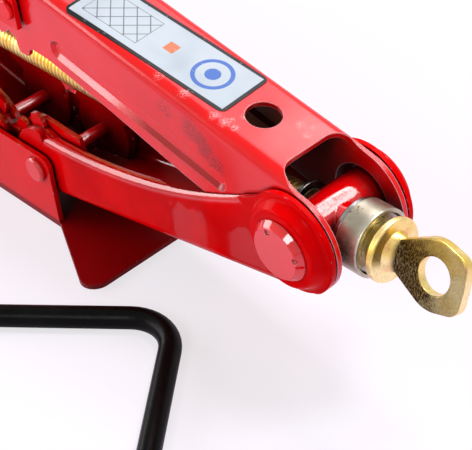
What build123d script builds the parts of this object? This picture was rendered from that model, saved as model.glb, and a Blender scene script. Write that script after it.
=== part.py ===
from build123d import *
import os
from math import acos, atan2, cos, hypot, pi, radians, sin, sqrt, tan

# Scissor jack. Millimetres, +Z up, +X along the screw towards its eye.
# The origin is the middle of the base plate's underside.

# Linkage
PIN_SPACING = 43.4
ARM_LENGTH = 166.6
REST_SLOPE = 14.0
BACK_SLOPE = 11.3
BASE_PIN_HEIGHT = 29.0

# Pressed sheet and the play between nested cheeks
ARM_SHEET = 2.2
BRACKET_SHEET = 2.4
SIDE_PLAY = 0.7
BRACKET_PLAY = 1.2
UPPER_HALF_WIDTH = 18.6
FOLD_RADIUS = 5.0

# Arm side profiles: back height over the trunnion, round end, open edge
UPPER_BACK = 24.9
UPPER_END_RADIUS = 21.7
UPPER_EDGE = [(161.5, 13.7), (155.7, 9.3), (145.0, 8.0), (105.0, 9.0), (60.0, 12.0), (18.0, 13.0)]
LOWER_BACK = 23.1
LOWER_END_RADIUS = 21.7
BACK_START = 14.2
BACK_SHOULDER = 10.0
SHOULDER_SAG = (0.6, 0.36)
UPPER_NOTCH_CORNER = 7.5
LOWER_NOTCH_CORNER = 4.0
BACK_PAST_PIN = 8.0
WEB_HOLE_FROM_PIN = 37.6
WEB_HOLE_RADIUS = 7.2

# Lower arm's open edge: a long shallow arc, then a straight run to the trunnion end
EDGE_RADIUS = 308.0
EDGE_MIDDLE = 106.8
EDGE_DEPTH = 2.5
EDGE_START = 161.0
EDGE_FINISH = 25.0
EDGE_LAST = (14.0, 16.5)

# Lip rolled inwards along that edge, down to its own sheet at the end of its taper
LIP_WIDTH = 5.0
LIP_FULL = 84.0
LIP_TAPERED = 72.0
LIP_RADIUS = 4.0
LIP_WASTE = 4.0

# Pressed groove along the upper arm's cheek
GROOVE_WIDTH = 9.0
GROOVE_FLOOR = 4.6
GROOVE_DEPTH = 1.7
GROOVE_START = (139.0, 1.0)
GROOVE_FINISH = (42.0, -1.0)

# Toothed arm ends: where each arm's first tooth points, as on the right lower arm
TEETH_PER_TURN = 8
PRESSURE_ANGLE = 30.0
ADDENDUM = 2.4
ROOT_RADIUS = 18.0
HUB_RADIUS = 17.5
BACKLASH = 0.5
LAST_TOOTH = 215.0
LOWER_TOOTH = 101.0
UPPER_TOOTH = 91.0

# Smooth rolling plate beside the lower arm's teeth
ROLLER_RADIUS = 21.4
ROLLER_OUTER = 15.3
ROLLER_START = 140.0
ROLLER_RISE = 3.5
ROLLER_END_ANGLE = 150.0
ROLLER_PLAY = 0.5

# Dished cheeks round the trunnions
DISH_HEIGHT = 4.8
DISH_SLOPE = 3.0
DISH_FOOT = 1.6
DISH_ROUNDS = [2.5, 1.8]
LOWER_DISH_RADIUS = 19.4
LOWER_RECESS_RADIUS = 17.4
UPPER_DISH_RADIUS = 15.8
UPPER_RECESS_RADIUS = 13.6

# Trunnions
TRUNNION_RADIUS = 10.5
JOURNAL_RADIUS = 8.0
HEAD_RADIUS = 13.2
HEAD_FACE_RADIUS = 10.9
HEAD_HEIGHT = 2.8
PUNCH_RADIUS = 1.2
PUNCH_MARKS = [(-3.2, 8.4), (10.3, 1.9)]
BOSS_RADIUS = 8.6
BOSS_REACH = 13.4
END_PLAY = 0.15
RUNNING_PLAY = 0.08

# Screw, measured from the thrust trunnion's axis
SCREW_RADIUS = 6.35
SCREW_TAIL = 392.0
SCREW_TAIL_CHAMFER = 1.5

# Forged eye on the screw's end, measured likewise
NECK_RADIUS = 9.2
NECK_START = 24.6
FLANGE_START = 29.4
FLANGE_END = 32.4
FLANGE_RADIUS = 13.0
FLANGE_ROUND = 0.9
EYE_CENTRE = 52.7
EYE_RADIUS = 13.9
EYE_HOLE_RADIUS = 7.15
EYE_THICKNESS = 4.4
EYE_ROUND = 0.7
EYE_CORNER_RADIUS = 6.0
EYE_CORNER = (60.2, 6.2)
EYE_TURN = 19.2
EYE_STEM = 38.8
EYE_STEM_RADIUS = 7.5
SHANK_RADIUS = 8.6
SHANK_END = 37.0
SHANK_HALF_WIDTH = 7.0

# Thrust bearing between the trunnion and the flange
WASHER_RADIUS = 13.5
WASHER_END = 15.1
CUP_RADIUS = 14.0
CUP_WALL = 1.5
CUP_END = 25.9
BALL_RADIUS = 2.4
BALL_RING_RADIUS = 9.3
BALL_COUNT = 10
BALL_PLAY = 0.1
RACE_RADIUS = 11.9

# Rings that keep the screw in its trunnions
RETAINER_RADIUS = 9.6
RETAINER_THICKNESS = 1.8
RETAINER_PLAY = 0.4
STOP_RADIUS = 9.4
STOP_THICKNESS = 4.0
STOP_FROM_TAIL = 4.0

# Base and saddle brackets
BASE_HALF_LENGTH = 78.3
BASE_FLARE_HALF_WIDTH = 48.9
BASE_CORNER = 7.5
BASE_CHEEK_HALF = 30.4
BASE_CHEEK_HEIGHT = 36.7
BASE_CHEEK_CORNER = 5.0
BRACKET_FOLD = 4.0
SADDLE_CHEEK_HALF = 26.3
SADDLE_CHEEK_DROP = 8.5
SADDLE_RISE = 29.0
SADDLE_LIP_HEIGHT = 9.0
SADDLE_LIP_CORNER = 6.0

# Pivot pins: the base's are the stouter
BASE_PIN_RADIUS = 3.4
BASE_PIN_HEAD = (6.0, 2.6)
SADDLE_PIN_RADIUS = 2.9
SADDLE_PIN_HEAD = (4.4, 1.8)
PIN_HEAD_ROUND = 0.6

# Sticker on the upper arm's back
LABEL_LENGTH = 87.0
LABEL_WIDTH = 26.4
LABEL_CORNER = 3.0
LABEL_FILM = 0.25
LABEL_CENTRE = (92.6, -0.9)
LABEL_SKEW = -3.9

# Crank handle lying on the floor: bend points in plan, and bend radii
CRANK_RADIUS = 4.85
CRANK_POINTS = [(-89.2, -243.5), (-107.2, -220.5), (121.7, -34.4), (187.0, -110.1), (257.6, -54.3)]
CRANK_BENDS = [12.0, 20.0, 20.0]

PIN_X = PIN_SPACING / 2
ARM_RUN = ARM_LENGTH * cos(radians(REST_SLOPE))
ARM_RISE = ARM_LENGTH * sin(radians(REST_SLOPE))
TRUNNION_X = PIN_X + ARM_RUN
TRUNNION_Z = BASE_PIN_HEIGHT + ARM_RISE
SADDLE_PIN_Z = TRUNNION_Z + ARM_RISE
LOWER_HALF_WIDTH = UPPER_HALF_WIDTH + SIDE_PLAY + ARM_SHEET
BASE_HALF_WIDTH = LOWER_HALF_WIDTH + BRACKET_PLAY + BRACKET_SHEET
SADDLE_HALF_WIDTH = UPPER_HALF_WIDTH + BRACKET_PLAY + BRACKET_SHEET

# An arm's own frame: u runs from the trunnion to the pin, v towards its back
PIN_TILT = radians(REST_SLOPE - BACK_SLOPE)
PIN_U = ARM_LENGTH * cos(PIN_TILT)
PIN_V = ARM_LENGTH * sin(PIN_TILT)
PITCH_RADIUS = PIN_SPACING / 2
TIP_RADIUS = PITCH_RADIUS + ADDENDUM
INVOLUTE_RADIUS = PITCH_RADIUS * cos(radians(PRESSURE_ANGLE))
TOOTH_PITCH = 360.0 / TEETH_PER_TURN
REACH = 300.0


def along_y(sketch, start, end):
    """A solid of a side-view sketch, between two distances from the middle plane, on the far side."""
    return extrude(Plane.XZ.offset(-start) * sketch, -(end - start))


def both_sides(solid):
    """A solid and its mirror image in the middle plane."""
    return solid + mirror(solid, about=Plane.XZ)


def cone_y(radius, end_radius, start, end):
    """A cone on the Y axis, on the far side of the middle plane."""
    cone = Cone(radius, end_radius, end - start, align=(Align.CENTER, Align.CENTER, Align.MIN))
    return Pos(0, start, 0) * Rot(-90, 0, 0) * cone


def disc_y(radius, start, end):
    """A disc on the Y axis, on the far side of the middle plane."""
    disc = Cylinder(radius, end - start, align=(Align.CENTER, Align.CENTER, Align.MIN))
    return Pos(0, start, 0) * Rot(-90, 0, 0) * disc


def disc_x(radius, start, end, hole=0.0):
    """A disc or ring on the X axis."""
    disc = Cylinder(radius, end - start, align=(Align.CENTER, Align.CENTER, Align.MIN))
    if hole:
        disc -= Cylinder(hole, 3 * (end - start))
    return Pos(start, 0, 0) * Rot(0, 90, 0) * disc


def involute(angle):
    """The involute function of an angle in radians."""
    return tan(angle) - angle


def half_tooth(radius):
    """Half of a tooth's angle at a radius, in radians."""
    at_pitch = (pi * PITCH_RADIUS / TEETH_PER_TURN - BACKLASH) / (2 * PITCH_RADIUS)
    start = involute(radians(PRESSURE_ANGLE))
    return at_pitch + start - involute(acos(INVOLUTE_RADIUS / radius))


def tooth(angle):
    """The outline of one tooth that points at an angle from the arm's u axis, about the pin."""
    middle = radians(angle)

    def point(radius, swing):
        return (PIN_U + radius * cos(middle + swing), PIN_V + radius * sin(middle + swing))

    foot = half_tooth(INVOLUTE_RADIUS)
    tip = half_tooth(TIP_RADIUS)
    waist = half_tooth(PITCH_RADIUS)
    inner = ROOT_RADIUS - 1.0
    outline = [
        Line(point(inner, -foot), point(INVOLUTE_RADIUS, -foot)),
        ThreePointArc(point(INVOLUTE_RADIUS, -foot), point(PITCH_RADIUS, -waist), point(TIP_RADIUS, -tip)),
        ThreePointArc(point(TIP_RADIUS, -tip), point(TIP_RADIUS, 0), point(TIP_RADIUS, tip)),
        ThreePointArc(point(TIP_RADIUS, tip), point(PITCH_RADIUS, waist), point(INVOLUTE_RADIUS, foot)),
        Line(point(INVOLUTE_RADIUS, foot), point(inner, foot)),
        Line(point(inner, foot), point(inner, -foot)),
    ]
    return make_face(outline)


def tooth_angles(first):
    """Where an arm's teeth point from its u axis, up to the last that can meet another."""
    count = 1 + int((LAST_TOOTH - first) // TOOTH_PITCH)
    return [first + i * TOOTH_PITCH - 180.0 - BACK_SLOPE for i in range(count)]


def roller():
    """The smooth plate beside a lower arm's teeth, which rolls on its neighbour."""
    end = radians(ROLLER_END_ANGLE - 180.0 - BACK_SLOPE)
    corner = (ROLLER_START, open_edge(ROLLER_START) - ROLLER_RISE)
    back = (corner[0] - PIN_U, corner[1] - PIN_V)
    start = atan2(back[1], back[0]) + acos(ROLLER_RADIUS / hypot(*back))

    def rim(angle):
        return (PIN_U + ROLLER_RADIUS * cos(angle), PIN_V + ROLLER_RADIUS * sin(angle))

    outline = [
        Polyline((PIN_U, PIN_V), (ROLLER_START, 0), corner, rim(start)),
        ThreePointArc(rim(start), rim((start + end) / 2), rim(end)),
        Line(rim(end), (PIN_U, PIN_V)),
    ]
    return make_face(outline)


def open_edge(u):
    """The height of the lower arm's open edge at a distance from its trunnion."""
    return sqrt(EDGE_RADIUS ** 2 - (u - EDGE_MIDDLE) ** 2) - EDGE_RADIUS - EDGE_DEPTH


def edge_arc(start, finish):
    """The lower arm's open edge between two distances from its trunnion."""
    stations = (start, (start + finish) / 2, finish)
    return ThreePointArc(*[(u, open_edge(u)) for u in stations])


def along_edge(start, finish):
    """The same stretch of edge as a path in an arm's own frame."""
    return Plane.XZ * edge_arc(start, finish)


def side_profile(back, end_radius, edge):
    """An arm's sheet seen from the side: tapered cheek, round trunnion end and round pin end."""
    waist = (BACK_SHOULDER * SHOULDER_SAG[0], end_radius + (back - end_radius) * SHOULDER_SAG[1])
    outline = [
        ThreePointArc((0, end_radius), waist, (BACK_SHOULDER, back)),
        Polyline((BACK_SHOULDER, back), (PIN_U + BACK_PAST_PIN, back), (PIN_U + BACK_PAST_PIN, PIN_V)),
        Line((PIN_U + BACK_PAST_PIN, PIN_V), edge[0] @ 0),
        *edge,
        Polyline(edge[-1] @ 1, (0, -end_radius / 2), (0, end_radius)),
    ]
    return make_face(outline) + Circle(end_radius) + Pos(PIN_U, PIN_V) * Circle(ROOT_RADIUS)


def channel(half_width, back):
    """A long folded channel, open on the side away from its back."""
    depth = 3 * back
    inside = half_width - ARM_SHEET
    inner_depth = depth - ARM_SHEET
    outer = Rectangle(2 * half_width, depth)
    outer = fillet(outer.vertices().group_by(Axis.Y)[-1], FOLD_RADIUS)
    inner = Rectangle(2 * inside, inner_depth)
    inner = fillet(inner.vertices().group_by(Axis.Y)[-1], FOLD_RADIUS - ARM_SHEET)
    section = Pos(0, back - depth / 2) * outer - Pos(0, back - depth / 2 - ARM_SHEET / 2) * inner
    return extrude(Plane.YZ.offset(-REACH / 2) * section, 2 * REACH)


def sheet_arm(half_width, back, corner, profile):
    """One pressed arm in its own frame: a folded sheet with its back cut away at the trunnion."""
    body = channel(half_width, back) & both_sides(along_y(profile, 0, half_width))
    notch = Rectangle(REACH, 2 * (half_width - ARM_SHEET))
    notch = fillet(notch.vertices().group_by(Axis.X)[-1], corner)
    return body - Pos(BACK_START - REACH / 2, 0, back) * extrude(notch, back / 2, both=True)


def dish(radius, start):
    """A raised dish with a rounded foot and shoulder, on the far side of the middle plane."""
    top = start + DISH_HEIGHT
    corners = [(radius + DISH_FOOT, start), (radius, start), (radius - DISH_SLOPE, top), (0, top)]
    slope = FilletPolyline(*corners, radius=DISH_ROUNDS)
    sunk = start - ARM_SHEET / 2
    rest = Polyline((0, top), (0, sunk), (radius + DISH_FOOT, sunk), (radius + DISH_FOOT, start))
    return revolve(make_face([slope, rest]), Axis.Y)


def dished(body, raised, half_width, recess):
    """An arm with a dish raised on each cheek, hollowed from inside and bored for the trunnion."""
    inside = half_width - ARM_SHEET
    body += both_sides(raised)
    body -= both_sides(cone_y(recess, recess - DISH_SLOPE, inside, inside + DISH_HEIGHT))
    return body - Rot(90, 0, 0) * Cylinder(JOURNAL_RADIUS + RUNNING_PLAY, REACH)


def pin_hole(radius):
    """The running hole for an arm's pin."""
    return Pos(PIN_U, 0, PIN_V) * Rot(90, 0, 0) * Cylinder(radius + RUNNING_PLAY, REACH)


def lip_section(u, width):
    """The lip's strip across the arm at one station."""
    outer = LOWER_HALF_WIDTH - ARM_SHEET / 2
    strip = Rectangle(width - ARM_SHEET / 2, ARM_SHEET, align=(Align.MAX, Align.MIN))
    return Plane.YZ.offset(u) * (Pos(outer, open_edge(u)) * strip)


def lip_corner(u):
    """The waste outside the lip's rounded corner, as a face across the arm at one station."""
    half = LOWER_HALF_WIDTH
    v = open_edge(u)
    inset = LIP_RADIUS * (1 - cos(pi / 4))
    outline = [
        ThreePointArc((half, v + LIP_RADIUS), (half - inset, v + inset), (half - LIP_RADIUS, v)),
        Polyline((half - LIP_RADIUS, v), (half - LIP_RADIUS, v - LIP_WASTE), (half + 1, v - LIP_WASTE),
                 (half + 1, v + LIP_RADIUS), (half, v + LIP_RADIUS)),
    ]
    return Plane.YZ.offset(u) * make_face(outline)


def lower_arm(first):
    """A lower arm in its own frame, with a rolled lip, inset toothed plates and rolling plates."""
    edge = [edge_arc(EDGE_START, EDGE_FINISH)]
    edge.append(Line(edge[0] @ 1, (EDGE_LAST[0], -EDGE_LAST[1])))
    profile = side_profile(LOWER_BACK, LOWER_END_RADIUS, edge)
    body = sheet_arm(LOWER_HALF_WIDTH, LOWER_BACK, LOWER_NOTCH_CORNER, profile)
    body += both_sides(sweep(lip_section(EDGE_START, LIP_WIDTH), path=along_edge(EDGE_START, LIP_FULL)))
    body += both_sides(loft([lip_section(LIP_FULL, LIP_WIDTH), lip_section(LIP_TAPERED, ARM_SHEET)]))
    body -= both_sides(sweep(lip_corner(EDGE_START), path=along_edge(EDGE_START, EDGE_FINISH)))
    body = dished(body, dish(LOWER_DISH_RADIUS, LOWER_HALF_WIDTH), LOWER_HALF_WIDTH, LOWER_RECESS_RADIUS)
    clear = Pos(PIN_U, LOWER_BACK - ARM_SHEET - REACH / 2) * Rectangle(REACH, REACH)
    hub = Pos(PIN_U, PIN_V) * Circle(HUB_RADIUS)
    gear = Pos(PIN_U, PIN_V) * Circle(ROOT_RADIUS)
    for angle in tooth_angles(first):
        gear += tooth(angle)
    roller_inner = ROLLER_OUTER - ARM_SHEET
    gear_inner = ROLLER_OUTER + ROLLER_PLAY
    body += both_sides(along_y(hub & clear, roller_inner, LOWER_HALF_WIDTH - ARM_SHEET))
    body += both_sides(along_y(gear & clear, gear_inner, gear_inner + ARM_SHEET))
    body += both_sides(along_y(roller(), roller_inner, ROLLER_OUTER))
    return body - pin_hole(BASE_PIN_RADIUS)


def cheek_groove():
    """The groove's bottom and mouth outlines, along the upper arm's cheek."""
    run = Vector(GROOVE_START) - Vector(GROOVE_FINISH)
    middle = (Vector(GROOVE_START) + Vector(GROOVE_FINISH)) / 2
    where = Pos(middle.X, middle.Y) * Rot(0, 0, run.get_angle(Vector(1, 0)))
    return [where * SlotCenterToCenter(run.length, width) for width in (GROOVE_FLOOR, GROOVE_WIDTH)]


def pressed(outlines, level):
    """A tapered pressing that opens out at a distance from the middle plane, on the far side."""
    floor, mouth = outlines
    return loft([Plane.XZ.offset(GROOVE_DEPTH - level) * floor, Plane.XZ.offset(-level) * mouth])


def upper_arm(first):
    """An upper arm in its own frame, with teeth on its cheeks, cheek grooves and a round hole."""
    edge = [Polyline(*[(u, -v) for u, v in UPPER_EDGE])]
    profile = side_profile(UPPER_BACK, UPPER_END_RADIUS, edge)
    for angle in tooth_angles(first):
        profile += tooth(angle)
    body = sheet_arm(UPPER_HALF_WIDTH, UPPER_BACK, UPPER_NOTCH_CORNER, profile)
    raised = cone_y(UPPER_DISH_RADIUS, UPPER_DISH_RADIUS - DISH_SLOPE, UPPER_HALF_WIDTH,
                    UPPER_HALF_WIDTH + DISH_HEIGHT)
    body = dished(body, raised, UPPER_HALF_WIDTH, UPPER_RECESS_RADIUS)
    inside = UPPER_HALF_WIDTH - ARM_SHEET
    body += both_sides(pressed(cheek_groove(), inside))
    body -= both_sides(pressed(cheek_groove(), UPPER_HALF_WIDTH))
    body -= Pos(WEB_HOLE_FROM_PIN, 0, UPPER_BACK) * Cylinder(WEB_HOLE_RADIUS, UPPER_BACK / 2)
    return body - pin_hole(SADDLE_PIN_RADIUS)


def label():
    """The thin sticker on an upper arm's back, wrapped over the fold where it reaches it."""
    film = channel(UPPER_HALF_WIDTH, UPPER_BACK)
    lifted = Pos(0, 0, LABEL_FILM) * film
    plan = RectangleRounded(LABEL_LENGTH, LABEL_WIDTH, LABEL_CORNER)
    plan = Pos(*LABEL_CENTRE) * Rot(0, 0, LABEL_SKEW) * plan
    stamp = extrude(Pos(0, 0, UPPER_BACK - FOLD_RADIUS) * plan, 2 * FOLD_RADIUS)
    return (lifted - film) & stamp


def place(solid, upper, right):
    """An arm's or label's solid moved from the arm's own frame to where it rests."""
    solid = Rot(0, BACK_SLOPE, 0) * mirror(solid, about=Plane.YZ)
    if not upper:
        solid = mirror(solid, about=Plane.XY)
    solid = Pos(TRUNNION_X, 0, TRUNNION_Z) * solid
    return solid if right else mirror(solid, about=Plane.YZ)


def trunnion(boss):
    """A cross pin with two journals and peened heads, bored along X for the screw."""
    shoulder = UPPER_HALF_WIDTH - ARM_SHEET + DISH_HEIGHT - SIDE_PLAY
    seat = LOWER_HALF_WIDTH + DISH_HEIGHT + END_PLAY
    face = seat + HEAD_HEIGHT
    head = cone_y(HEAD_RADIUS, HEAD_FACE_RADIUS, seat, face)
    for x, z in PUNCH_MARKS:
        head -= Pos(x, face, z) * Sphere(PUNCH_RADIUS)
    half = disc_y(TRUNNION_RADIUS, 0, shoulder) + disc_y(JOURNAL_RADIUS, shoulder, seat) + head
    body = both_sides(half)
    if boss:
        body += disc_x(BOSS_RADIUS, 0, BOSS_REACH)
    return body - Rot(0, 90, 0) * Cylinder(SCREW_RADIUS + RUNNING_PLAY, REACH)


def lead_screw():
    """The long screw, as a plain rod of its outside size."""
    rod = disc_x(SCREW_RADIUS, -SCREW_TAIL, FLANGE_START)
    return chamfer(rod.edges().group_by(Axis.X)[0], SCREW_TAIL_CHAMFER)


def screw_eye():
    """The forged end of the screw: neck, flange, and a shank that flattens into the eye."""
    stem = Pos(EYE_STEM, 0) * Circle(EYE_STEM_RADIUS)
    plan = Pos(EYE_CENTRE, 0) * Circle(EYE_RADIUS) + stem
    for side in (1, -1):
        plan += Pos(EYE_CORNER[0], side * EYE_CORNER[1]) * Circle(EYE_CORNER_RADIUS)
    plan = make_hull(plan.edges())
    plan -= Pos(EYE_CENTRE, 0) * Circle(EYE_HOLE_RADIUS)
    plate = extrude(plan, EYE_THICKNESS / 2, both=True)
    faces = plate.faces().filter_by(Axis.Z)
    plate = fillet(faces.edges(), EYE_ROUND)
    shank = loft([
        Plane.YZ.offset(FLANGE_END - 1) * Circle(SHANK_RADIUS),
        Plane.YZ.offset(SHANK_END) * Ellipse(SHANK_HALF_WIDTH, EYE_THICKNESS / 2 - 0.2),
    ])
    shank -= Pos(EYE_CENTRE, 0, 0) * Cylinder(EYE_HOLE_RADIUS, REACH)
    flange = disc_x(FLANGE_RADIUS, FLANGE_START, FLANGE_END)
    flange = fillet(flange.edges().filter_by(GeomType.CIRCLE), FLANGE_ROUND)
    head = disc_x(NECK_RADIUS, NECK_START, FLANGE_START + 1) + flange
    head -= disc_x(SCREW_RADIUS, NECK_START - 1, FLANGE_START)
    return head + Rot(90 - EYE_TURN, 0, 0) * (shank + plate)


def bearing_cup():
    """The drawn cup that houses the thrust balls, open towards the flange."""
    cup = disc_x(CUP_RADIUS, WASHER_END, CUP_END, SCREW_RADIUS + SIDE_PLAY)
    cup -= disc_x(CUP_RADIUS - CUP_WALL, WASHER_END + CUP_WALL, CUP_END + 1)
    return fillet(cup.edges().filter_by(GeomType.CIRCLE).sort_by(SortBy.RADIUS)[-2:], CUP_WALL * 0.4)


def bearing_balls():
    """The ring of thrust balls, as separate solids."""
    middle = WASHER_END + CUP_WALL + BALL_PLAY + BALL_RADIUS
    ball = Pos(middle, 0, BALL_RING_RADIUS) * Sphere(BALL_RADIUS)
    return Compound([Rot(i * 360 / BALL_COUNT, 0, 0) * ball for i in range(BALL_COUNT)])


def pivot_pin(x, height, half_width, radius, head):
    """A riveted pivot pin across a bracket, with a rounded head on each side."""
    half = disc_y(radius, 0, half_width)
    button = disc_y(head[0], half_width, half_width + head[1])
    button = fillet(button.edges().group_by(Axis.Y)[-1], PIN_HEAD_ROUND * head[1])
    return Pos(x, 0, height) * both_sides(half + button)


def pin_holes(height, radius):
    """The holes that a bracket's two pins pass through."""
    hole = Rot(90, 0, 0) * Cylinder(radius, REACH)
    return Pos(-PIN_X, 0, height) * hole + Pos(PIN_X, 0, height) * hole


def base_plate():
    """The pressed base: a flared floor plate with two upright cheeks folded from it."""
    flare = [(BASE_CHEEK_HALF, BASE_HALF_WIDTH), (BASE_HALF_LENGTH, BASE_FLARE_HALF_WIDTH)]
    corners = flare + [(x, -y) for x, y in reversed(flare)]
    corners += [(-x, y) for x, y in reversed(corners)]
    floor = make_face(Polyline(*corners, close=True))
    ends = [v for v in floor.vertices() if abs(v.X) > BASE_HALF_LENGTH - 1]
    plate = extrude(fillet(ends, BASE_CORNER), BRACKET_SHEET)
    cheek = Pos(0, BASE_CHEEK_HEIGHT / 2) * Rectangle(2 * BASE_CHEEK_HALF, BASE_CHEEK_HEIGHT)
    cheek = fillet(cheek.vertices().group_by(Axis.Y)[-1], BASE_CHEEK_CORNER)
    plate += both_sides(along_y(cheek, BASE_HALF_WIDTH - BRACKET_SHEET, BASE_HALF_WIDTH))
    return plate - pin_holes(BASE_PIN_HEIGHT, BASE_PIN_RADIUS)


def saddle():
    """The load saddle: an inverted channel over the upper arms, with two turned-up lips."""
    top = SADDLE_PIN_Z + SADDLE_RISE
    low = SADDLE_PIN_Z - SADDLE_CHEEK_DROP
    height = top - low
    outer = Rectangle(2 * SADDLE_HALF_WIDTH, height)
    outer = fillet(outer.vertices().group_by(Axis.Y)[-1], BRACKET_FOLD)
    inner = Rectangle(2 * (SADDLE_HALF_WIDTH - BRACKET_SHEET), height)
    section = outer - Pos(0, -BRACKET_SHEET) * inner
    bracket = extrude(Plane.YZ.offset(-SADDLE_CHEEK_HALF) * (Pos(0, low + height / 2) * section),
                      2 * SADDLE_CHEEK_HALF)
    lip = Rectangle(2 * SADDLE_HALF_WIDTH - 2 * BRACKET_FOLD, SADDLE_LIP_HEIGHT)
    lip = fillet(lip.vertices().group_by(Axis.Y)[-1], SADDLE_LIP_CORNER)
    lip = Pos(0, top + SADDLE_LIP_HEIGHT / 2) * lip
    right = extrude(Plane.YZ.offset(SADDLE_CHEEK_HALF - BRACKET_SHEET) * lip, BRACKET_SHEET)
    bracket += right + mirror(right, about=Plane.YZ)
    return bracket - pin_holes(SADDLE_PIN_Z, SADDLE_PIN_RADIUS)


def crank_handle():
    """The loose crank: a round bar with a hook, a long shaft, a throw and a grip, on the floor."""
    path = FilletPolyline(*[(x, y, CRANK_RADIUS) for x, y in CRANK_POINTS], radius=CRANK_BENDS)
    start = Plane(path @ 0, z_dir=path % 0)
    return sweep(start * Circle(CRANK_RADIUS), path=path)


def build():
    """Every piece of the jack, by name, where it rests."""
    at_thrust = Pos(TRUNNION_X, 0, TRUNNION_Z)
    at_nut = Pos(-TRUNNION_X, 0, TRUNNION_Z)
    race_start = WASHER_END + CUP_WALL + 2 * (BALL_RADIUS + BALL_PLAY)
    retainer_end = -TRUNNION_RADIUS - RETAINER_PLAY
    stop_start = STOP_FROM_TAIL - SCREW_TAIL
    base_pin = (BASE_PIN_HEIGHT, BASE_HALF_WIDTH, BASE_PIN_RADIUS, BASE_PIN_HEAD)
    saddle_pin = (SADDLE_PIN_Z, SADDLE_HALF_WIDTH, SADDLE_PIN_RADIUS, SADDLE_PIN_HEAD)
    return {
        "base_plate": base_plate(),
        "base_pin_right": pivot_pin(PIN_X, *base_pin),
        "base_pin_left": pivot_pin(-PIN_X, *base_pin),
        "lower_arm_right": place(lower_arm(LOWER_TOOTH), upper=False, right=True),
        "lower_arm_left": place(lower_arm(LOWER_TOOTH - TOOTH_PITCH / 2), upper=False, right=False),
        "upper_arm_right": place(upper_arm(UPPER_TOOTH), upper=True, right=True),
        "upper_arm_left": place(upper_arm(UPPER_TOOTH - TOOTH_PITCH / 2), upper=True, right=False),
        "label_sticker": place(label(), upper=True, right=True),
        "thrust_trunnion": at_thrust * trunnion(True),
        "nut_trunnion": at_nut * trunnion(False),
        "thrust_washer": at_thrust * disc_x(WASHER_RADIUS, BOSS_REACH, WASHER_END, SCREW_RADIUS + SIDE_PLAY),
        "bearing_cup": at_thrust * bearing_cup(),
        "bearing_balls": at_thrust * bearing_balls(),
        "bearing_race": at_thrust * disc_x(RACE_RADIUS, race_start, NECK_START, SCREW_RADIUS),
        "lead_screw": at_thrust * lead_screw(),
        "screw_eye": at_thrust * screw_eye(),
        "retaining_ring": at_thrust * disc_x(RETAINER_RADIUS, retainer_end - RETAINER_THICKNESS,
                                             retainer_end, SCREW_RADIUS),
        "screw_stop_ring": at_thrust * disc_x(STOP_RADIUS, stop_start, stop_start + STOP_THICKNESS,
                                              SCREW_RADIUS),
        "saddle": saddle(),
        "saddle_pin_right": pivot_pin(PIN_X, *saddle_pin),
        "saddle_pin_left": pivot_pin(-PIN_X, *saddle_pin),
        "crank_handle": crank_handle(),
    }


os.makedirs("parts", exist_ok=True)
for name, solid in build().items():
    export_step(solid, f"parts/{name}.step")
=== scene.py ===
"""A red scissor jack and its black crank handle on a white studio floor."""

import logging
import math
from dataclasses import dataclass
from enum import Enum
from functools import cached_property
from typing import Any, Callable, Optional, Union

import bpy
from mathutils import Matrix, Quaternion, Vector


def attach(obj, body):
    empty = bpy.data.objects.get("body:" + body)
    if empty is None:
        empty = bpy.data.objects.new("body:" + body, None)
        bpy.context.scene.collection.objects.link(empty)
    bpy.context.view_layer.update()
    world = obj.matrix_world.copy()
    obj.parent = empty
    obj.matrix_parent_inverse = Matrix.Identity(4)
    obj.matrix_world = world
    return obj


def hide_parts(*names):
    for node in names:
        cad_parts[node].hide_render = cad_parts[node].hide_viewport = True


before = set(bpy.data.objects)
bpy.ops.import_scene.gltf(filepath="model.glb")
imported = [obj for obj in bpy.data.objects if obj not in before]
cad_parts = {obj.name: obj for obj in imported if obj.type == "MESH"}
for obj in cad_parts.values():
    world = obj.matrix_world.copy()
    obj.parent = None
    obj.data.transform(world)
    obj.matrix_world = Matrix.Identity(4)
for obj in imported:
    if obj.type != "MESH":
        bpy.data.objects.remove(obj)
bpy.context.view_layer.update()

LOG = logging.getLogger("scissor_jack")

Triple = tuple[float, float, float]
Span = tuple[float, float]
Colour = tuple[float, float, float, float]
Key = Union[int, str]


def colour(red: float, green: float, blue: float) -> Colour:
    """A linear colour with full opacity."""
    return (red, green, blue, 1.0)


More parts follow.
